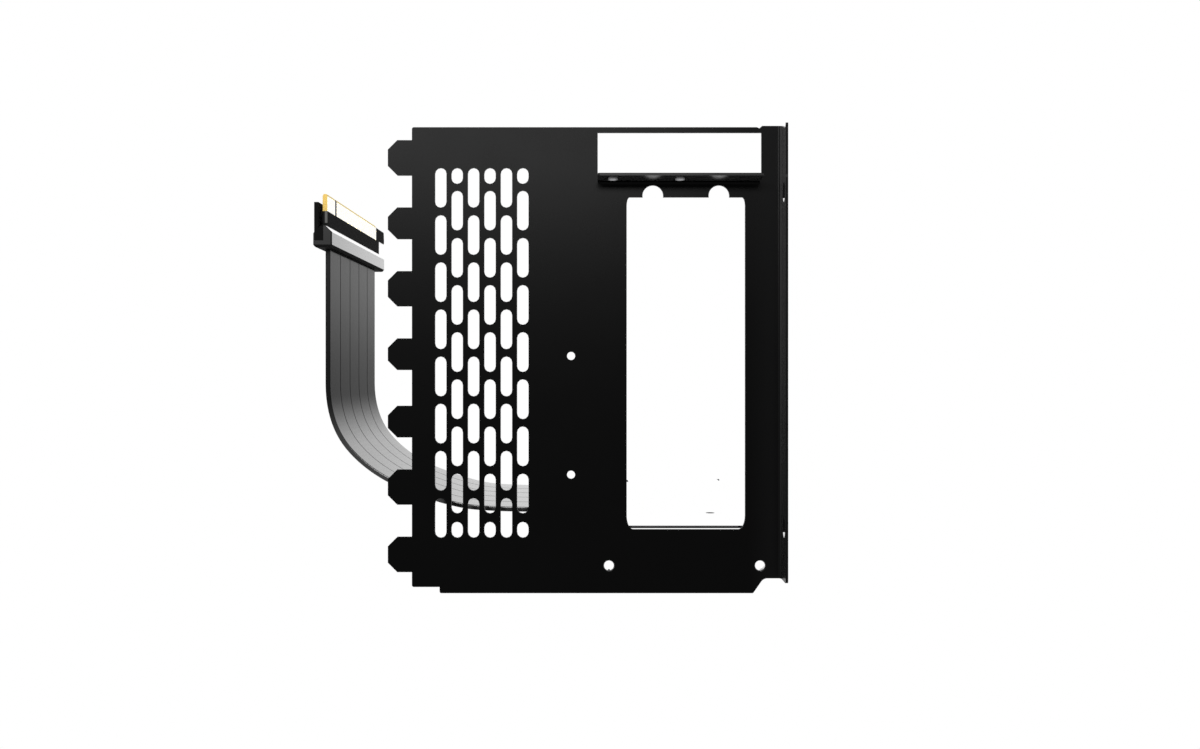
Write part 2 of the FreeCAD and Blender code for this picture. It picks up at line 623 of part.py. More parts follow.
def slot_housing():
    """The socket's moulded body: a keyed groove, with a recess for each row of contacts."""
    body = box((SOCKET_LEFT, SOCKET_RIGHT), (SOCKET_NEAR, SOCKET_FAR), (BOARD_TOP, SOCKET_TOP))
    slack = GROOVE_CLEARANCE / 2
    wide = GROOVE_HALF + CONTACT_RECESS
    cuts = []
    for begin, length in edge_sections(SOCKET_EDGE_START):
        y = (begin - slack, begin + length + slack)
        cuts.append(box((SOCKET_X - GROOVE_HALF, SOCKET_X + GROOVE_HALF), y, (GROOVE_FLOOR, SOCKET_TOP)))
        cuts.append(box((SOCKET_X - wide, SOCKET_X + wide), y, (GROOVE_FLOOR, SOCKET_TOP - CONTACT_LIP)))
    return body.cut(cuts)


def slot_contacts(side):
    """One row of springs that stand on the groove's floor and lean in to the card."""
    wall = SOCKET_X + side * (GROOVE_HALF + CONTACT_RECESS)
    section = [(wall, GROOVE_FLOOR), (wall, GROOVE_FLOOR + CONTACT_HEIGHT),
               (wall - side * CONTACT_CREST, GROOVE_FLOOR + CONTACT_CREST_HEIGHT)]
    springs = [prism(section, in_xz, (y - CONTACT_WIDTH / 2, y + CONTACT_WIDTH / 2))
               for y in contact_places(SOCKET_EDGE_START)]
    return Part.makeCompound(springs)


def slot_shield():
    """A steel cover that stands on the board round the socket, open at the card's mouth."""
    x = (SOCKET_LEFT - SHIELD_WALL, SOCKET_RIGHT + SHIELD_WALL)
    y = (SOCKET_NEAR - SHIELD_WALL, SOCKET_FAR + SHIELD_WALL)
    z = (BOARD_TOP, SOCKET_TOP + SHIELD_WALL)
    inside = box((SOCKET_LEFT, SOCKET_RIGHT), (SOCKET_NEAR, SOCKET_FAR), (BOARD_TOP, SOCKET_TOP))
    mouth_y = (SOCKET_EDGE_START - SHIELD_MOUTH_END, SOCKET_EDGE_START + EDGE_LENGTH + SHIELD_MOUTH_END)
    mouth = box((SOCKET_X - SHIELD_MOUTH / 2, SOCKET_X + SHIELD_MOUTH / 2), mouth_y, (SOCKET_TOP, z[1]))
    return box(x, y, z).cut([inside, mouth])


def clamp_section(face, back):
    """A clamp half's section: flat against the ribbon, with its outer edges chamfered."""
    slope = CLAMP_CHAMFER if back > face else -CLAMP_CHAMFER
    left, right = CLAMP_X
    return [(left, face), (left, back - slope), (left + CLAMP_CHAMFER, back),
            (right - CLAMP_CHAMFER, back), (right, back - slope), (right, face)]


def clamp_screw_cut(diameter):
    low = BOARD_MIDDLE - GRIP - CLAMP_THICKNESS + CLAMP_SCREW_COVER
    high = BOARD_MIDDLE + GRIP + CLAMP_THICKNESS
    return uprights(CLAMP_SCREW_X, CLAMP_SCREWS_Y, diameter, (low, high))


def socket_clamp_upper():
    face = BOARD_MIDDLE + GRIP
    half = prism(clamp_section(face, face + CLAMP_THICKNESS), in_xz, CLAMP_Y)
    return half.cut(clamp_screw_cut(CLAMP_SCREW_DIAMETER + SCREW_CLEARANCE))


def socket_clamp_lower():
    """The lower half, with a post at each end that fills the gap beside the ribbon."""
    face = BOARD_MIDDLE - GRIP
    half = prism(clamp_section(face, face - CLAMP_THICKNESS), in_xz, CLAMP_Y)
    post_x = (CLAMP_X[0], BOARD_LEFT - RIBBON_CLEARANCE)
    gap = (face, BOARD_MIDDLE + GRIP)
    posts = [box(post_x, (CLAMP_Y[0], RIBBON_START - RIBBON_CLEARANCE), gap),
             box(post_x, (RIBBON_END + RIBBON_CLEARANCE, CLAMP_Y[1]), gap)]
    return merged([half] + posts).cut(clamp_screw_cut(CLAMP_SCREW_DIAMETER + SCREW_CLEARANCE))


def socket_clamp_screws():
    top = BOARD_MIDDLE + GRIP + CLAMP_THICKNESS
    heads = uprights(CLAMP_SCREW_X, CLAMP_SCREWS_Y, CLAMP_SCREW_HEAD, (top, top + CLAMP_SCREW_HEAD_HEIGHT))
    shanks = clamp_screw_cut(CLAMP_SCREW_DIAMETER)
    return Part.makeCompound([head.fuse(shank) for head, shank in zip(heads, shanks)])


# Ribbon
def route_path():
    """Straight runs joined by tangent arcs, each as large as its two runs allow."""
    points = [in_xz(a, b) for a, b in ROUTE]
    edges = []
    start = points[0]
    for before, corner, after in zip(points, points[1:], points[2:]):
        reach = ROUTE_ARC_SHARE * min(corner.distanceToPoint(before), corner.distanceToPoint(after))
        half = (before - corner).getAngle(after - corner) / 2
        radius = reach * tan(half)
        arc = rounding(before, corner, after, radius)
        edges += [Part.LineSegment(start, arc[0]).toShape(), Part.Arc(*arc).toShape()]
        start = arc[2]
        print("ribbon arc radius", round(radius, 1))
    edges.append(Part.LineSegment(start, points[-1]).toShape())
    return Part.Wire(edges)


def ribbon_strip(path, index):
    """One flat strip, drawn along the path at its own place across the ribbon."""
    near = RIBBON_START + index * (STRIP_WIDTH + STRIP_GAP)
    half = STRIP_THICKNESS / 2
    section = closed_wire([(PLUG_X - half, near), (PLUG_X + half, near),
                           (PLUG_X + half, near + STRIP_WIDTH), (PLUG_X - half, near + STRIP_WIDTH)], in_xy)
    section.translate(V(0, 0, BUTT))
    route = path.copy()
    route.translate(V(0, near + STRIP_WIDTH / 2, 0))
    return route.makePipeShell([section], True, False)


# Edge plug
def plug_outline():
    """The plug's board from the side: keyed finger edge, hook at the far end, body below."""
    tip = PLUG_TIP
    edge_end = PLUG_EDGE_END
    key = (PLUG_EDGE_START + EDGE_SHORT, PLUG_EDGE_START + EDGE_SHORT + EDGE_KEY)
    key_round = EDGE_KEY / 2
    hook = (edge_end + HOOK_GAP, edge_end + HOOK_GAP + HOOK_LENGTH)
    hook_top = tip - HOOK_TIP_DROP
    return [(PLUG_EDGE_START, BUTT), (PLUG_EDGE_START, tip), (key[0], tip),
            (key[0], FINGER_BASE, key_round), (key[1], FINGER_BASE, key_round), (key[1], tip),
            (edge_end, tip), (edge_end, FINGER_BASE, HOOK_GAP / 2), (hook[0], FINGER_BASE, HOOK_GAP / 2),
            (hook[0], hook_top), (hook[1] - HOOK_TAPER, hook_top), (hook[1], FINGER_BASE, HOOK_CORNER),
            (PLUG_BODY_END, FINGER_BASE), (PLUG_BODY_END, BUTT)]


def plug_board():
    half = BOARD_THICKNESS / 2
    board = prism(plug_outline(), in_yz, (PLUG_X - half, PLUG_X + half))
    bevel = PLUG_TIP - EDGE_BEVEL_HEIGHT
    nose = half - EDGE_BEVEL
    section = [(PLUG_X - half, BUTT), (PLUG_X + half, BUTT), (PLUG_X + half, bevel),
               (PLUG_X + nose, PLUG_TIP), (PLUG_X - nose, PLUG_TIP), (PLUG_X - half, bevel)]
    hook_end = PLUG_EDGE_END + HOOK_GAP + HOOK_LENGTH
    return board.common(prism(section, in_xz, (PLUG_EDGE_START, hook_end)))


def plug_contacts(side):
    """One row of plated pads on a face of the finger edge."""
    face = PLUG_X + side * BOARD_THICKNESS / 2
    x = sorted((face, face + side * PAD_THICKNESS))
    z = (FINGER_BASE, PLUG_TIP - EDGE_BEVEL_HEIGHT - PAD_TIP_GAP)
    return Part.makeCompound([box(x, (y - PAD_WIDTH / 2, y + PAD_WIDTH / 2), z)
                              for y in contact_places(PLUG_EDGE_START)])


def bar_ends():
    """The plug clamp seen from above, with its four upright corners chamfered."""
    left, right = BAR_X
    near, far = BAR_Y
    cut = BAR_END_CHAMFER
    plan = [(left, near + cut), (left + cut, near), (right - cut, near), (right, near + cut),
            (right, far - cut), (right - cut, far), (left + cut, far), (left, far - cut)]
    return prism(plan, in_xy, (BAR_BOTTOM, BAR_TOP))


def bar_screws(diameter, depth):
    """A small round at each screw of the plug clamp, as deep as given from its left face."""
    span = (BAR_X[0], BAR_X[0] + depth)
    return [prism(many_sided(y, BAR_SCREW_Z, diameter), in_yz, span) for y in BAR_SCREWS_Y]


def plug_clamp_right():
    inner = PLUG_X + GRIP
    outer = BAR_X[1]
    section = [(inner, BAR_BOTTOM), (outer - BAR_FOOT_CHAMFER, BAR_BOTTOM),
               (outer, BAR_BOTTOM + BAR_FOOT_CHAMFER), (outer, BAR_TOP - BAR_RIGHT), (inner, BAR_TOP)]
    half = prism(section, in_xz, BAR_Y).common(bar_ends())
    return half.cut(bar_screws(CLAMP_SCREW_DIAMETER + SCREW_CLEARANCE, BAR_SCREW_DEPTH))


def plug_clamp_left():
    """The left half: it fills the gap round the board and the ribbon, and carries a guard."""
    inner = PLUG_X - GRIP
    outer = BAR_X[0]
    across = (inner, PLUG_X + GRIP)
    section = [(across[1], BAR_BOTTOM), (outer + BAR_FOOT_CHAMFER, BAR_BOTTOM),
               (outer, BAR_BOTTOM + BAR_FOOT_CHAMFER), (outer, BAR_TOP - BAR_LEFT),
               (inner, BAR_TOP), (across[1], BAR_TOP)]
    half = prism(section, in_xz, BAR_Y).common(bar_ends())
    slack = RIBBON_CLEARANCE
    pockets = [box(across, (RIBBON_START - slack, RIBBON_END + slack), (BAR_BOTTOM, BUTT)),
               box(across, (PLUG_EDGE_START - slack, PLUG_BODY_END + slack), (BUTT, BAR_TOP))]
    guard_x = (outer + GUARD_INSET, outer + GUARD_INSET + GUARD_THICKNESS)
    guard_start = BAR_Y[0] + BAR_END_CHAMFER
    guard_y = (guard_start, guard_start + GUARD_LENGTH)
    guard = box(guard_x, guard_y, (BAR_TOP - BAR_LEFT, BAR_TOP + GUARD_HEIGHT))
    holes = bar_screws(CLAMP_SCREW_DIAMETER + SCREW_CLEARANCE, BAR_SCREW_DEPTH)
    holes += bar_screws(CLAMP_SCREW_HEAD + SCREW_CLEARANCE, CLAMP_SCREW_HEAD_HEIGHT)
    return merged([half.cut(pockets), guard]).cut(holes)


def plug_clamp_screws():
    """Two screws across the clamp, their heads sunk flush with its left face."""
    heads = bar_screws(CLAMP_SCREW_HEAD, CLAMP_SCREW_HEAD_HEIGHT)
    shanks = bar_screws(CLAMP_SCREW_DIAMETER, BAR_SCREW_DEPTH)
    return Part.makeCompound([head.fuse(shank) for head, shank in zip(heads, shanks)])


def pieces():
    """Every separate piece of the mount by name."""
    solids = {
        "rear_plate": rear_plate(),
        "riser_tray": riser_tray(),
        "insulating_film": insulating_film(),
        "socket_board": socket_board(),
        "board_screws": board_screws(),
        "slot_housing": slot_housing(),
        "slot_contacts_left": slot_contacts(-1),
        "slot_contacts_right": slot_contacts(1),
        "slot_shield": slot_shield(),
        "socket_clamp_upper": socket_clamp_upper(),
        "socket_clamp_lower": socket_clamp_lower(),
        "socket_clamp_screws": socket_clamp_screws(),
        "plug_board": plug_board(),
        "plug_contacts_left": plug_contacts(-1),
        "plug_contacts_right": plug_contacts(1),
        "plug_clamp_left": plug_clamp_left(),
        "plug_clamp_right": plug_clamp_right(),
        "plug_clamp_screws": plug_clamp_screws(),
    }
    path = route_path()
    section = STRIP_WIDTH * STRIP_THICKNESS
    for i in range(STRIP_COUNT):
        strip = ribbon_strip(path, i)
        solids[f"ribbon_strip_{i + 1}"] = strip
        share = strip.Volume / section / path.Length
        print("ribbon strip length", round(path.Length, 1), "volume share", round(share, 4))
    return solids


os.makedirs("parts", exist_ok=True)
for name, solid in pieces().items():
    solid.exportStep(f"parts/{name}.step")
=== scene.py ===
import math

import bmesh
import bpy
from mathutils import Matrix, Vector


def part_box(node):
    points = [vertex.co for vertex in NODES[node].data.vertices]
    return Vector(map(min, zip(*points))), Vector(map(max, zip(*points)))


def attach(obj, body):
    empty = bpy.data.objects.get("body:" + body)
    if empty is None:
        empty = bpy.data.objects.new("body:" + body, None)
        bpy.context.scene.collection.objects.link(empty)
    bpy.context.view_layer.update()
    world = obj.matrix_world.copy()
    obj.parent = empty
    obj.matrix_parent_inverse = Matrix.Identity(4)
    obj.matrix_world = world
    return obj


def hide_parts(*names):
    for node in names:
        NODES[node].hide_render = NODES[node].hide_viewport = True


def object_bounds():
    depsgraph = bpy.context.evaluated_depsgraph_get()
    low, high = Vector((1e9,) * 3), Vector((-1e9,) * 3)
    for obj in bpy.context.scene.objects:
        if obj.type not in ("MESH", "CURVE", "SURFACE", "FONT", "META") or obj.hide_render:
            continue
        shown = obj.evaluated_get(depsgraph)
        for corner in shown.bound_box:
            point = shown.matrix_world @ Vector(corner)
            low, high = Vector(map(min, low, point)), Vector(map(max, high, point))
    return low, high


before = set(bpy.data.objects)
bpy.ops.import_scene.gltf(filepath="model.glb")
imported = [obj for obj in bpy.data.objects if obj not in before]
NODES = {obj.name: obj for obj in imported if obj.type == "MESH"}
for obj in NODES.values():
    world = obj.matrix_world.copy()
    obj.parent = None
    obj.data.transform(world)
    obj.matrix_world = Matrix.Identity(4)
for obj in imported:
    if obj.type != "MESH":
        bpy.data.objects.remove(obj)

# The mount as the solids give it, in metres
CAD_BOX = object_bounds()
MM = 0.001
UP = Vector((0, 0, 1))
OUT_LEFT = Vector((-1, 0, 0))
SCENE = bpy.context.scene

# Camera, level with the middle of the plate and square to it
CAMERA_PLACE = Vector((-56.4, -353.0, -4.4)) * MM
CAMERA_LENS = 35.0
CAMERA_SENSOR = 36.0
CAMERA_CLIP = 10 * MM

# Studio: a pale floor well below the mount, and a wide soft lamp in front, above and to the left
FLOOR_DROP = 230 * MM
FLOOR_RADIUS = 480 * MM
FLOOR_SOLID_RADIUS = 250 * MM
FLOOR_COLOUR = (0.93, 0.93, 0.93, 1)
LAMP_PLACE = Vector((-265, -820, 258)) * MM
LAMP_WIDTH = 640 * MM
LAMP_HEIGHT = 150 * MM
LAMP_POWER = 6.2
FILL_LEVEL = 0.5

# Ribbon strips: the same route as the solids, from the socket board to the plug, in X and Z,
# and the heights between which the strips straighten
ROUTE = [
    (-0.0710, -0.05021),
    (-0.0928, -0.05021),
    (-0.1083, -0.04825),
    (-0.1337, -0.0385),
    (-0.1487, -0.0214),
    (-0.1487, 0.0065),
    (-0.1487, 0.0420),
]
STRIPS = ["ribbon_strip_%d" % number for number in range(1, 6)]
STRIP_THICKNESS = 1.65 * MM
STRIP_EDGE_ROUND = 0.3 * MM
STRIP_SHARP_ANGLE = math.radians(8)
BEND_LOW = -30 * MM
BEND_HIGH = -11 * MM

# Edge plug: its gold edge from end to end with the bevel along it, and the key notch
FINGER_BASE = 50.5 * MM
FINGER_BEVEL = 55.5 * MM
FINGER_TOP = 57 * MM
FINGER_LENGTH = (38 * MM, 124.2 * MM)
KEY_NOTCH = (50.15 * MM, 52.25 * MM)
CUT_END_ACROSS = (-148.75 * MM, -147 * MM)
CUT_END_ALONG = (38 * MM, 38.7 * MM)
CUT_END_HEIGHTS = (46.5 * MM, 50.6 * MM)
BOARD_LEFT = -149.5 * MM
BOARD_RIGHT = -147.9 * MM
PAD_THINNING = 0.2
BLUR = 0.05 * MM

# Plug's clamp: its foot and top, the slope along its right half as X + Z,
# and the guard's place on its near end
CLAMP_HEIGHTS = (38 * MM, 46 * MM)
CLAMP_FOOT = (38 * MM, 38.95 * MM)
CLAMP_SLOPE = (-102.7 * MM, -102 * MM)
CLAMP_RIGHT_HALF = (-148.2 * MM, -145.7 * MM)
CLAMP_NEAR_END = (35 * MM, 43 * MM)
GUARD_HEIGHTS = (45.4 * MM, 54 * MM)
GUARD_ACROSS = (-151.65 * MM, -148.65 * MM)
GUARD_FOOT = (40.3 * MM, 45.5 * MM)

# Rear plate: the flange's inner face, which gets a painted gradient of light, and the strip beside it, which
# gets painted bounce light, the lower ends of its slots, which get painted glints, the shelf's underside,
# which gets painted light, and the slits at the ends of the shelf's fold
BESIDE_FLANGE = -12.0 * MM
FLANGE_BEND = -1.2 * MM
FLANGE_FACE = -0.8 * MM
FLANGE_CUT = (-0.7 * MM, -0.1 * MM)
SLOT_ENDS = [(47.4 * MM, 49.2 * MM), (-54.2 * MM, -52.4 * MM)]
SLOT_WIDTH = (-2.2 * MM, 2.2 * MM)
PLATE_HEIGHT = 144 * MM
SHELF_HEIGHTS = (54.8 * MM, 55.6 * MM)
SHELF_BEND = 4.5 * MM
SLIT_PAINT = [
    (Vector((-57.10, 5.6, 54.0)) * MM, Vector((-56.95, 6.2, 55.7)) * MM),
    (Vector((-57.12, -5.4, 54.95)) * MM, Vector((-56.95, 5.6, 55.65)) * MM),
    (Vector((-7.37, 5.6, 54.0)) * MM, Vector((-7.22, 6.2, 55.7)) * MM),
]

# Threads in the shelf's holes, and the edges that stay sharp on new pieces
SHELF_THREADS = [Vector((-52.50, 0.3, 54.55)) * MM, Vector((-32.18, 0.3, 54.55)) * MM]
THREAD_LENGTH = 1.1 * MM
THREAD_TEETH = 6
THREAD_OUTER = 1.49 * MM
THREAD_ROOT = 1.47 * MM
THREAD_CREST = 1.36 * MM
THREAD_STEPS = 24
SHARP_ANGLE = math.radians(40)
MERGE = 0.001 * MM

# Crossed screws: the heads' lengths, shanks and domes, and the recess as shares of the head
BOARD_SCREW_HEAD = 1.6 * MM
BOARD_SCREW_SHANK = 1.25 * MM
BOARD_SCREW_DOME = 0.4 * MM
CLAMP_SCREW_HEAD = 0.9 * MM
CLAMP_SCREW_SHANK = 0.8 * MM
SOCKET_SCREW_DOME = 0.2 * MM
HEAD_CELLS = 5
HEAD_SPREAD = 1.25
RECESS_ARM_WIDTH = 0.1
RECESS_ARM_LENGTH = 0.5
RECESS_DEPTH = 0.6
RECESS_TAPER = 0.75
HEAD_EDGE_ROUND = 0.2

# A slanted way along which a new piece's corners and faces are numbered, the same in each run
KEPT_ORDER = Vector((1.0, 0.3719, 0.6137))


class Term:
    """One socket of a shader; arithmetic on it adds Math nodes, and node() adds any other."""

    def __init__(self, socket):
        self.socket = socket
        self.tree = socket.id_data

    def node(self, kind, settings, sockets, output=0):
        made = self.tree.nodes.new(kind)
        for name, value in settings.items():
            setattr(made, name, value)
        for name, value in sockets.items():
            if isinstance(value, Term):
                self.tree.links.new(value.socket, made.inputs[name])
            else:
                made.inputs[name].default_value = value
        return Term(made.outputs[output])

    def maths(self, operation, *terms):
        return self.node("ShaderNodeMath", {"operation": operation}, dict(enumerate(terms)))

    def __add__(self, other):
        return self.maths("ADD", self, other)

    def __radd__(self, other):
        return self.maths("ADD", other, self)

    def __sub__(self, other):
        return self.maths("SUBTRACT", self, other)

    def __rsub__(self, other):
        return self.maths("SUBTRACT", other, self)

    def __mul__(self, other):
        return self.maths("MULTIPLY", self, other)

    def __rmul__(self, other):
        return self.maths("MULTIPLY", other, self)

    def axis(self, index):
        return self.node("ShaderNodeSeparateXYZ", {}, {0: self}, index)

    def noise(self, scale, detail=2.0, stretch=(1, 1, 1)):
        placed = self.node("ShaderNodeMapping", {}, {"Vector": self, "Scale": stretch})
        return self.node("ShaderNodeTexNoise", {}, {"Vector": placed, "Scale": scale, "Detail": detail})

    def step(self, low, high):
        """0 below low and 1 above high, with a smooth change between."""
        sockets = {"Value": self, "From Min": low, "From Max": high}
        return self.node("ShaderNodeMapRange", {"interpolation_type": "SMOOTHSTEP"}, sockets)

    def within(self, low, high):
        """1 between low and high and 0 outside, with narrow soft edges."""
        return self.step(low - BLUR, low + BLUR) * (1 - self.step(high - BLUR, high + BLUR))

    def tint(self, dark, light):
        """From one colour to another as this value goes from 0 to 1."""
        colours = [shade if isinstance(shade, Term) else (*shade, 1) for shade in (dark, light)]
        sockets = {0: self, 6: colours[0], 7: colours[1]}
        return self.node("ShaderNodeMix", {"data_type": "RGBA"}, sockets, 2)

    def bump(self, depth, strength=1.0):
        return self.node("ShaderNodeBump", {}, {"Height": self, "Distance": depth, "Strength": strength})

    def paint(self, **sockets):
        named = {name.replace("_", " "): value for name, value in sockets.items()}
        return self.node("ShaderNodeBsdfPrincipled", {}, named)


def grazing_shine(at, shader, low, high, roughness, where=1.0, **mirror_sockets):
    """A shader that turns into a mirror where it is seen almost edge on, as gloss paint does."""
    facing = at.node("ShaderNodeLayerWeight", {}, {"Blend": 0.5}, 1)
    sockets = {"Color": (1, 1, 1, 1), "Roughness": roughness, **mirror_sockets}
    mirror = at.node("ShaderNodeBsdfAnisotropic", {}, sockets)
    share = facing.step(low, high) * where
    return at.node("ShaderNodeMixShader", {}, {0: share, 1: shader, 2: mirror})


# Finishes, one function for each
def plate_paint(at):
    """Satin black powder coat with painted light on it: a painted gradient of light on the flange's inner
    face, lighter towards the top; painted bounce light on the strip beside the flange; a painted lighter
    underside on the shelf; and painted glints at the lower ends of the flange's slots.
    """
    peel = at.noise(2600, 2.0)
    cloud = at.noise(70, 3.0)
    across = at.axis(0)
    along = at.axis(1)
    rise = at.axis(2)
    # painted light: the flange's inner face is lighter towards the top, a painted gradient of light falling
    # from above
    inner = across.step(FLANGE_BEND, FLANGE_FACE - BLUR) * (1 - across.step(FLANGE_FACE, FLANGE_FACE + BLUR))
    # painted light: the strip of plate beside the flange is lightened, standing in for light bounced off the
    # flange
    painted_bounce_light = across.step(BESIDE_FLANGE, FLANGE_BEND)
    # painted light: the shelf's underside is lightened, standing in for light it catches from below; the
    # same zone is also smoother
    shelf = rise.within(*SHELF_HEIGHTS) * (1 - along.step(SHELF_BEND - MM, SHELF_BEND))
    # painted glints: the lower ends of the flange's slots are painted near white, standing in for glints on
    # their walls
    slot_ends = rise.within(*SLOT_ENDS[0]) + rise.within(*SLOT_ENDS[1])
    slot_end_glint = slot_ends * along.within(*SLOT_WIDTH) * across.within(*FLANGE_CUT)
    height = rise * (1 / PLATE_HEIGHT) + 0.5
    black = cloud.tint((0.0002, 0.0002, 0.0002), (0.0004, 0.0004, 0.0004))
    black = painted_bounce_light.tint(black, (0.0026, 0.0026, 0.0027))
    black = shelf.tint(black, (0.022, 0.022, 0.022))
    black = inner.tint(black, height.tint((0.008, 0.008, 0.008), (0.064, 0.064, 0.064)))
    return at.paint(
        Base_Color=slot_end_glint.tint(black, (0.85, 0.85, 0.85)),
        Roughness=0.25 + 0.04 * cloud - 0.07 * shelf,
        Normal=peel.bump(0.004 * MM, 0.06),
        Specular_IOR_Level=0.036,
    )


def tray_paint(at):
    """The same coat in a higher gloss."""
    peel = at.noise(2600, 2.0)
    cloud = at.noise(70, 3.0)
    coat = at.paint(
        Base_Color=cloud.tint((0.0024, 0.0024, 0.0025), (0.0036, 0.0036, 0.0038)),
        Roughness=0.16 + 0.06 * cloud,
        Normal=peel.bump(0.004 * MM, 0.25),
        Coat_Weight=1.0,
        Coat_Roughness=0.08,
    )
    return grazing_shine(at, coat, 0.76, 0.87, 0.06)


def insulating_film(at):
    """Thin black sheet plastic with a fine tooth."""
    tooth = at.noise(4200, 1.0)
    return at.paint(
        Base_Color=tooth.tint((0.006, 0.006, 0.006), (0.011, 0.011, 0.011)),
        Roughness=0.5 + 0.12 * tooth,
        Normal=tooth.bump(0.01 * MM, 0.3),
    )


def circuit_board(at):
    """Matt black board with its weave showing faintly; the plug's edge is plated above its shoulder."""
    weave = at.noise(900, 2.0, (1, 0.35, 1))
    along = at.axis(1)
    rise = at.axis(2)
    edge = along.within(*FINGER_LENGTH) * (1 - along.within(*KEY_NOTCH))
    plated = rise.within(FINGER_BASE, FINGER_TOP) * edge
    flat = plated * (1 - rise.within(FINGER_BEVEL, FINGER_TOP))
    cut_end = at.axis(0).within(*CUT_END_ACROSS) * along.within(*CUT_END_ALONG)
    cut_end = cut_end * rise.within(*CUT_END_HEIGHTS)
    lacquer = cut_end.tint(weave.tint((0.008, 0.008, 0.008), (0.011, 0.011, 0.011)), (0.12, 0.12, 0.115))
    gold = weave.tint((0.76, 0.61, 0.23), (0.82, 0.67, 0.28))
    board = at.paint(
        Base_Color=plated.tint(lacquer, gold),
        Metallic=plated,
        Roughness=0.75 + 0.2 * plated,
        Specular_IOR_Level=0.02,
        Normal=weave.bump(0.006 * MM, 0.3 * (1 - plated)),
    )
    board = grazing_shine(at, board, 0.84, 0.9, 0.06, 1 - plated)
    return grazing_shine(at, board, 0.55, 0.7, 0.06, flat)


def slot_plastic(at):
    """Black moulded socket plastic."""
    grain = at.noise(3000, 2.0)
    return at.paint(
        Base_Color=grain.tint((0.007, 0.007, 0.007), (0.013, 0.013, 0.013)),
        Roughness=0.36 + 0.12 * grain,
        Normal=grain.bump(0.008 * MM, 0.35),
    )


def gold_plating(at):
    """Gold over nickel, slightly rubbed along the way the plug slides."""
    rub = at.noise(1500, 2.0, (1, 1, 0.15))
    gold = at.paint(
        Base_Color=rub.tint((0.93, 0.70, 0.19), (0.97, 0.77, 0.24)),
        Metallic=1.0,
        Roughness=0.16 + 0.12 * rub,
    )
    return grazing_shine(at, gold, 0.55, 0.7, 0.06)


def shield_steel(at):
    """Bright rolled steel with faint lines along its length."""
    lines = at.noise(2200, 2.0, (1, 0.03, 1))
    return at.paint(
        Base_Color=lines.tint((0.74, 0.74, 0.75), (0.84, 0.84, 0.85)),
        Metallic=1.0,
        Roughness=0.10 + 0.08 * lines,
    )


def clamp_plastic(at):
    """Dark moulded plastic, polished on the bars.

    The plug's bar has a bright slope, a matt foot and a matt guard.
    """
    grain = at.noise(2400, 2.0)
    relief = grain.bump(0.006 * MM, 0.3)
    across, along, rise = [at.axis(index) for index in range(3)]
    above = rise.within(*GUARD_HEIGHTS)
    foot = rise.within(*CLAMP_FOOT)
    slope = (across + rise).within(*CLAMP_SLOPE) * across.within(*CLAMP_RIGHT_HALF)
    slope = slope * rise.within(*CLAMP_HEIGHTS)
    end = across.within(*GUARD_ACROSS) * along.within(*CLAMP_NEAR_END) * rise.within(*GUARD_FOOT)
    shade = grain.tint((0.0045, 0.0045, 0.0045), (0.0068, 0.0068, 0.0068))
    matt = at.paint(
        Base_Color=shade,
        Roughness=0.7 + 0.1 * grain,
        Specular_IOR_Level=0.02,
        Normal=relief,
    )
    polished = at.paint(
        Base_Color=shade,
        Roughness=0.24 + 0.1 * grain,
        Specular_IOR_Level=0.08,
        Normal=relief,
    )
    bar = grazing_shine(at, polished, 0.62, 1.01, 0.15)
    rounding = (slope * (CLAMP_RIGHT_HALF[1] - across)).bump(0.9)
    dulled = 1 - (1 - above) * (1 - foot) * (1 - end)
    body = at.node("ShaderNodeMixShader", {}, {0: dulled, 1: bar, 2: matt})
    return grazing_shine(at, body, 0.6, 0.8, 0.15, slope, Normal=rounding)


def screw_steel(at):
    """Nickel-plated steel with fine wear."""
    wear = at.noise(1800, 3.0)
    return at.paint(
        Base_Color=wear.tint((0.36, 0.36, 0.37), (0.48, 0.48, 0.49)),
        Metallic=1.0,
        Roughness=0.5 + 0.16 * wear,
    )


def ribbon_jacket(at):
    """Dark film with a fine grain along the strip, shinier in the bend, the flat run and by the plug."""
    grain = at.noise(1.0, 3.0, (60, 4200, 60))
    speckle = at.noise(2800, 2.0)
    rise = at.axis(2)
    lying = 1 - rise.step(BEND_LOW, BEND_HIGH)
    near_plug = rise.step(BEND_HIGH, CLAMP_HEIGHTS[0])
    return at.paint(
        Base_Color=grain.tint((0.005, 0.005, 0.005), (0.010, 0.010, 0.010)),
        Roughness=0.2 + 0.08 * speckle,
        Specular_IOR_Level=0.008,
        Normal=(0.6 * grain + 0.4 * speckle).bump(0.012 * MM, 0.2),
        Coat_Weight=lying + 0.25 * near_plug,
        Coat_Roughness=0.1,
    )


def material(finish):
    """One material, named for its slot, from a finish function."""
    made = bpy.data.materials.new(finish.__name__)
    made.use_nodes = True
    tree = made.node_tree
    tree.nodes.clear()
    at = Term(tree.nodes.new("ShaderNodeTexCoord").outputs["Object"])
    out = tree.nodes.new("ShaderNodeOutputMaterial")
    tree.links.new(finish(at).socket, out.inputs["Surface"])
    return made


FINISHES = {
    plate_paint: ["rear_plate"],
    tray_paint: ["riser_tray"],
    insulating_film: ["insulating_film"],
    circuit_board: ["socket_board", "plug_board"],
    slot_plastic: ["slot_housing"],
    gold_plating: ["slot_contacts_left", "slot_contacts_right", "plug_contacts_left", "plug_contacts_right"],
    shield_steel: ["slot_shield"],
    clamp_plastic: ["socket_clamp_upper", "socket_clamp_lower", "plug_clamp_left", "plug_clamp_right"],
    screw_steel: ["board_screws", "socket_clamp_screws", "plug_clamp_screws"],
    ribbon_jacket: [],
}
MATERIALS = {finish.__name__: material(finish) for finish in FINISHES}


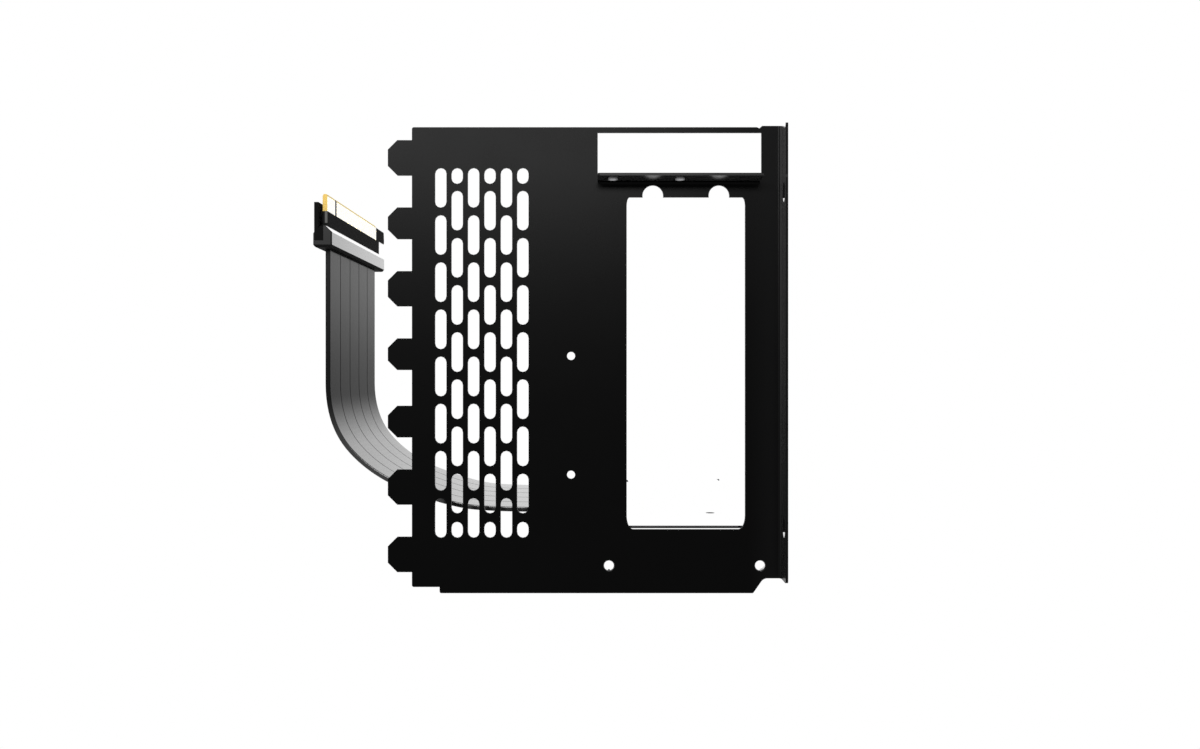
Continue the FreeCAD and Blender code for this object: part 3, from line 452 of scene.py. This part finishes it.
def piece(name, shape, slot, nodes=(), sharp=SHARP_ANGLE):
    """Turns a bmesh into an object that rides the mount and may stand for some of its solids."""
    shape.verts.sort(key=lambda vertex: vertex.co.dot(KEPT_ORDER))
    shape.verts.index_update()
    shape.faces.sort(key=lambda face: face.calc_center_median().dot(KEPT_ORDER))
    shape.faces.index_update()
    for face in shape.faces:
        face.smooth = True
    for edge in shape.edges:
        edge.smooth = edge.is_manifold and edge.calc_face_angle() < sharp
    mesh = bpy.data.meshes.new(name)
    shape.to_mesh(mesh)
    shape.free()
    made = bpy.data.objects.new(name, mesh)
    SCENE.collection.objects.link(made)
    mesh.materials.append(MATERIALS[slot])
    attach(made, "root")
    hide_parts(*nodes)
    return made


def route_points():
    """Points along the smooth line that has the route as its control points, at Y = 0."""
    curve = bpy.data.curves.new("ribbon_route", "CURVE")
    curve.dimensions = "3D"
    spline = curve.splines.new("NURBS")
    spline.points.add(len(ROUTE) - 1)
    for point, (x, z) in zip(spline.points, ROUTE):
        point.co = (x, 0, z, 1)
    spline.order_u = 3
    spline.use_endpoint_u = True
    spline.resolution_u = 10
    holder = bpy.data.objects.new("ribbon_route", curve)
    line = bpy.data.meshes.new_from_object(holder)
    points = [vertex.co.copy() for vertex in line.vertices]
    bpy.data.objects.remove(holder)
    bpy.data.curves.remove(curve)
    bpy.data.meshes.remove(line)
    return points


def ribbon_strip(node, points):
    """One flat strip that ends in the plug: a rounded section carried along the route."""
    low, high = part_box(node)
    width = high.y - low.y
    path = [point + Vector((0, (low.y + high.y) / 2, 0)) for point in points]
    shape = bmesh.new()
    bmesh.ops.create_grid(shape, x_segments=1, y_segments=1, size=0.5)
    bmesh.ops.scale(shape, vec=(STRIP_THICKNESS, width, 1), verts=shape.verts)
    bmesh.ops.bevel(
        shape,
        geom=shape.verts[:],
        offset=STRIP_EDGE_ROUND,
        affect="VERTICES",
        segments=4,
        profile=0.5,
        material=-1,
    )
    first = path[1] - path[0]
    turn = math.atan2(first.x, first.z)
    bmesh.ops.rotate(shape, cent=(0, 0, 0), matrix=Matrix.Rotation(turn, 3, "Y"), verts=shape.verts)
    bmesh.ops.translate(shape, vec=path[0], verts=shape.verts)
    for index in range(1, len(path)):
        before = path[index] - path[index - 1]
        after = path[min(index + 1, len(path) - 1)] - path[min(index, len(path) - 2)]
        middle = before.normalized() + after.normalized()
        heading = math.atan2(middle.x, middle.z)
        end = [face for face in shape.faces if face.select] or shape.faces[:]
        grown = bmesh.ops.extrude_face_region(shape, geom=end)["geom"]
        for face in end:
            face.select = False
        ring = [item for item in grown if isinstance(item, bmesh.types.BMVert)]
        cap = [item for item in grown if isinstance(item, bmesh.types.BMFace)]
        for face in cap:
            face.select = True
        bmesh.ops.translate(shape, vec=before, verts=ring)
        swing = Matrix.Rotation(heading - turn, 3, "Y")
        bmesh.ops.rotate(shape, cent=path[index], matrix=swing, verts=ring)
        turn = heading
    bmesh.ops.recalc_face_normals(shape, faces=shape.faces)
    strip = piece(node + "_jacket", shape, "ribbon_jacket", [node], STRIP_SHARP_ANGLE)


def set_in(part, shape, place, axis):
    """Turns a small shape from Z to an axis, moves it to its place and adds it to a piece."""
    turn = UP.rotation_difference(axis).to_matrix()
    bmesh.ops.rotate(part, cent=(0, 0, 0), matrix=turn, verts=part.verts)
    bmesh.ops.translate(part, vec=place, verts=part.verts)
    bmesh.ops.recalc_face_normals(part, faces=part.faces)
    mesh = bpy.data.meshes.new("small_shape")
    part.to_mesh(mesh)
    part.free()
    shape.from_mesh(mesh)
    bpy.data.meshes.remove(mesh)


def screw(shape, top, axis, head_radius, head_length, shank_radius, length, dome):
    """A screw with a cross recess; top is the middle of its head, and axis points out of it."""
    part = bmesh.new()
    bmesh.ops.create_grid(part, x_segments=HEAD_CELLS, y_segments=HEAD_CELLS, size=1)
    recess = []
    for face in part.faces:
        near, far = sorted(abs(side) for side in face.calc_center_median().xy)
        if near < RECESS_ARM_WIDTH and far < RECESS_ARM_LENGTH:
            recess.append(face)
    for vertex in part.verts:
        x, y = [math.copysign(abs(side) ** HEAD_SPREAD, side) for side in vertex.co.xy]
        across = Vector((x * math.sqrt(1 - y * y / 2), y * math.sqrt(1 - x * x / 2)))
        vertex.co = (across.x * head_radius, across.y * head_radius, -dome * across.length_squared)
    sunk = bmesh.ops.extrude_face_region(part, geom=recess)["geom"]
    floor = [item for item in sunk if isinstance(item, bmesh.types.BMVert)]
    bmesh.ops.translate(part, vec=(0, 0, -RECESS_DEPTH * head_length), verts=floor)
    bmesh.ops.scale(part, vec=(RECESS_TAPER, RECESS_TAPER, 1), verts=floor)
    rim = [edge for edge in part.edges if edge.is_boundary]
    loop = rim
    for radius, depth in ((head_radius, head_length), (shank_radius, head_length), (shank_radius, length)):
        grown = bmesh.ops.extrude_edge_only(part, edges=loop)["geom"]
        for item in grown:
            if isinstance(item, bmesh.types.BMVert):
                outward = item.co.xy.normalized() * radius
                item.co = (outward.x, outward.y, -depth)
        loop = [item for item in grown if isinstance(item, bmesh.types.BMEdge) and item.is_boundary]
    bmesh.ops.holes_fill(part, edges=loop)
    bmesh.ops.bevel(
        part,
        geom=rim,
        offset=HEAD_EDGE_ROUND * head_length,
        affect="EDGES",
        segments=2,
        profile=0.5,
        material=-1,
    )
    set_in(part, shape, top, axis)


def screw_pair(node, axis, head_length, shank_radius, dome):
    """Two crossed screws in the place of a pair of plain ones that stand side by side along Y."""
    low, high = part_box(node)
    size = high - low
    length = abs(size.dot(axis))
    head_radius = abs(size.dot(axis.cross(Vector((0, 1, 0))))) / 2
    top = (low + high) / 2 + axis * length / 2
    shape = bmesh.new()
    for y in (low.y + head_radius, high.y - head_radius):
        place = Vector((top.x, y, top.z))
        screw(shape, place, axis, head_radius, head_length, shank_radius, length, dome)
    return piece(node + "_crossed", shape, "screw_steel", [node])


def finger_pads(node, board_face):
    """The plug's row of contact pads on one face of its board, as thin as plating."""
    shape = bmesh.new()
    shape.from_mesh(NODES[node].data)
    bmesh.ops.remove_doubles(shape, verts=shape.verts, dist=MERGE)
    for vertex in shape.verts:
        vertex.co.x = board_face + PAD_THINNING * (vertex.co.x - board_face)
    return piece(node + "_plated", shape, "gold_plating", [node])


def shelf_threads():
    """Bright threads in the shelf's two holes."""
    shape = bmesh.new()
    for foot in SHELF_THREADS:
        part = bmesh.new()
        profile = [(THREAD_OUTER, 0), (THREAD_OUTER, THREAD_LENGTH)]
        for tooth in range(THREAD_TEETH + 1):
            radius = THREAD_CREST if tooth % 2 else THREAD_ROOT
            profile.append((radius, THREAD_LENGTH * (1 - tooth / THREAD_TEETH)))
        corners = [part.verts.new((radius, 0, rise)) for radius, rise in profile]
        sides = [part.edges.new(ends) for ends in zip(corners, corners[1:] + corners[:1])]
        bmesh.ops.spin(
            part,
            geom=corners + sides,
            cent=(0, 0, 0),
            axis=(0, 0, 1),
            angle=2 * math.pi,
            steps=THREAD_STEPS,
            use_merge=True,
        )
        bmesh.ops.remove_doubles(part, verts=part.verts, dist=MERGE)
        set_in(part, shape, foot, UP)
    piece("shelf_threads", shape, "screw_steel")


def shelf_slit_paint():
    """Paint that bridges the narrow slits at the ends of the shelf's fold, and covers its left edge."""
    shape = bmesh.new()
    for low, high in SLIT_PAINT:
        block = bmesh.ops.create_cube(shape, size=1)["verts"]
        bmesh.ops.scale(shape, vec=high - low, verts=block)
        bmesh.ops.translate(shape, vec=(low + high) / 2, verts=block)
    piece("shelf_slit_paint", shape, "plate_paint")


def set_camera():
    lens = bpy.data.cameras.new("camera")
    lens.lens = CAMERA_LENS
    lens.sensor_width = CAMERA_SENSOR
    lens.clip_start = CAMERA_CLIP
    camera = bpy.data.objects.new("camera", lens)
    camera.location = CAMERA_PLACE
    camera.rotation_euler = (math.pi / 2, 0, 0)
    SCENE.collection.objects.link(camera)
    SCENE.camera = camera


def set_lamp():
    lamp = bpy.data.lights.new("soft_lamp", "AREA")
    lamp.shape = "RECTANGLE"
    lamp.size = LAMP_WIDTH
    lamp.size_y = LAMP_HEIGHT
    lamp.energy = LAMP_POWER
    holder = bpy.data.objects.new("soft_lamp", lamp)
    holder.location = LAMP_PLACE
    aim = (CAD_BOX[0] + CAD_BOX[1]) / 2 - LAMP_PLACE
    holder.rotation_euler = aim.to_track_quat("-Z", "Y").to_euler()
    SCENE.collection.objects.link(holder)


def set_floor():
    """A pale disc under the mount that keeps its shadow and fades out before its rim."""
    middle = (CAD_BOX[0] + CAD_BOX[1]) / 2
    middle.z = CAD_BOX[0].z - FLOOR_DROP
    shape = bmesh.new()
    bmesh.ops.create_circle(shape, cap_ends=True, segments=96, radius=FLOOR_RADIUS)
    bmesh.ops.translate(shape, vec=middle, verts=shape.verts)
    mesh = bpy.data.meshes.new("floor")
    shape.to_mesh(mesh)
    shape.free()
    floor = bpy.data.objects.new("floor", mesh)
    SCENE.collection.objects.link(floor)
    pale = bpy.data.materials.new("floor_pale")
    pale.use_nodes = True
    tree = pale.node_tree
    tree.nodes.clear()
    at = Term(tree.nodes.new("ShaderNodeTexCoord").outputs["Object"])
    away = at.node("ShaderNodeVectorMath", {"operation": "DISTANCE"}, {0: at, 1: middle}, 1)
    under = at.node("ShaderNodeNewGeometry", {}, {}, "Backfacing")
    cover = (1 - away.step(FLOOR_SOLID_RADIUS, FLOOR_RADIUS)) * (1 - under)
    surface = at.paint(Base_Color=FLOOR_COLOUR, Roughness=0.9, Alpha=cover)
    out = tree.nodes.new("ShaderNodeOutputMaterial")
    tree.links.new(surface.socket, out.inputs["Surface"])
    mesh.materials.append(pale)


def set_world():
    """White where it is seen, mirrored or looked through, with an even fill on the mount."""
    world = bpy.data.worlds.new("studio")
    world.use_nodes = True
    SCENE.world = world
    tree = world.node_tree
    tree.nodes.clear()
    path = tree.nodes.new("ShaderNodeLightPath")
    camera, glossy, clear = [
        Term(path.outputs[name]) for name in ("Is Camera Ray", "Is Glossy Ray", "Is Transmission Ray")
    ]
    seen = 1 - (1 - camera) * (1 - glossy) * (1 - clear)
    level = seen + (1 - seen) * FILL_LEVEL
    light = level.node("ShaderNodeBackground", {}, {"Color": (1, 1, 1, 1), "Strength": level})
    out = tree.nodes.new("ShaderNodeOutputWorld")
    tree.links.new(light.socket, out.inputs["Surface"])


set_camera()
set_world()
set_lamp()
set_floor()
for finish, names in FINISHES.items():
    for name in names:
        NODES[name].data.materials.clear()
        NODES[name].data.materials.append(MATERIALS[finish.__name__])
plug_pieces = [NODES[name] for name in ("plug_board", "plug_clamp_left", "plug_clamp_right")]
plug_pieces.append(screw_pair("plug_clamp_screws", OUT_LEFT, CLAMP_SCREW_HEAD, CLAMP_SCREW_SHANK, 0))
plug_pieces.append(finger_pads("plug_contacts_left", BOARD_LEFT))
plug_pieces.append(finger_pads("plug_contacts_right", BOARD_RIGHT))
line = route_points()
for name in STRIPS:
    ribbon_strip(name, line)
screw_pair("board_screws", UP, BOARD_SCREW_HEAD, BOARD_SCREW_SHANK, BOARD_SCREW_DOME)
screw_pair("socket_clamp_screws", UP, CLAMP_SCREW_HEAD, CLAMP_SCREW_SHANK, SOCKET_SCREW_DOME)
shelf_threads()
shelf_slit_paint()

SCENE.view_settings.view_transform = "Standard"
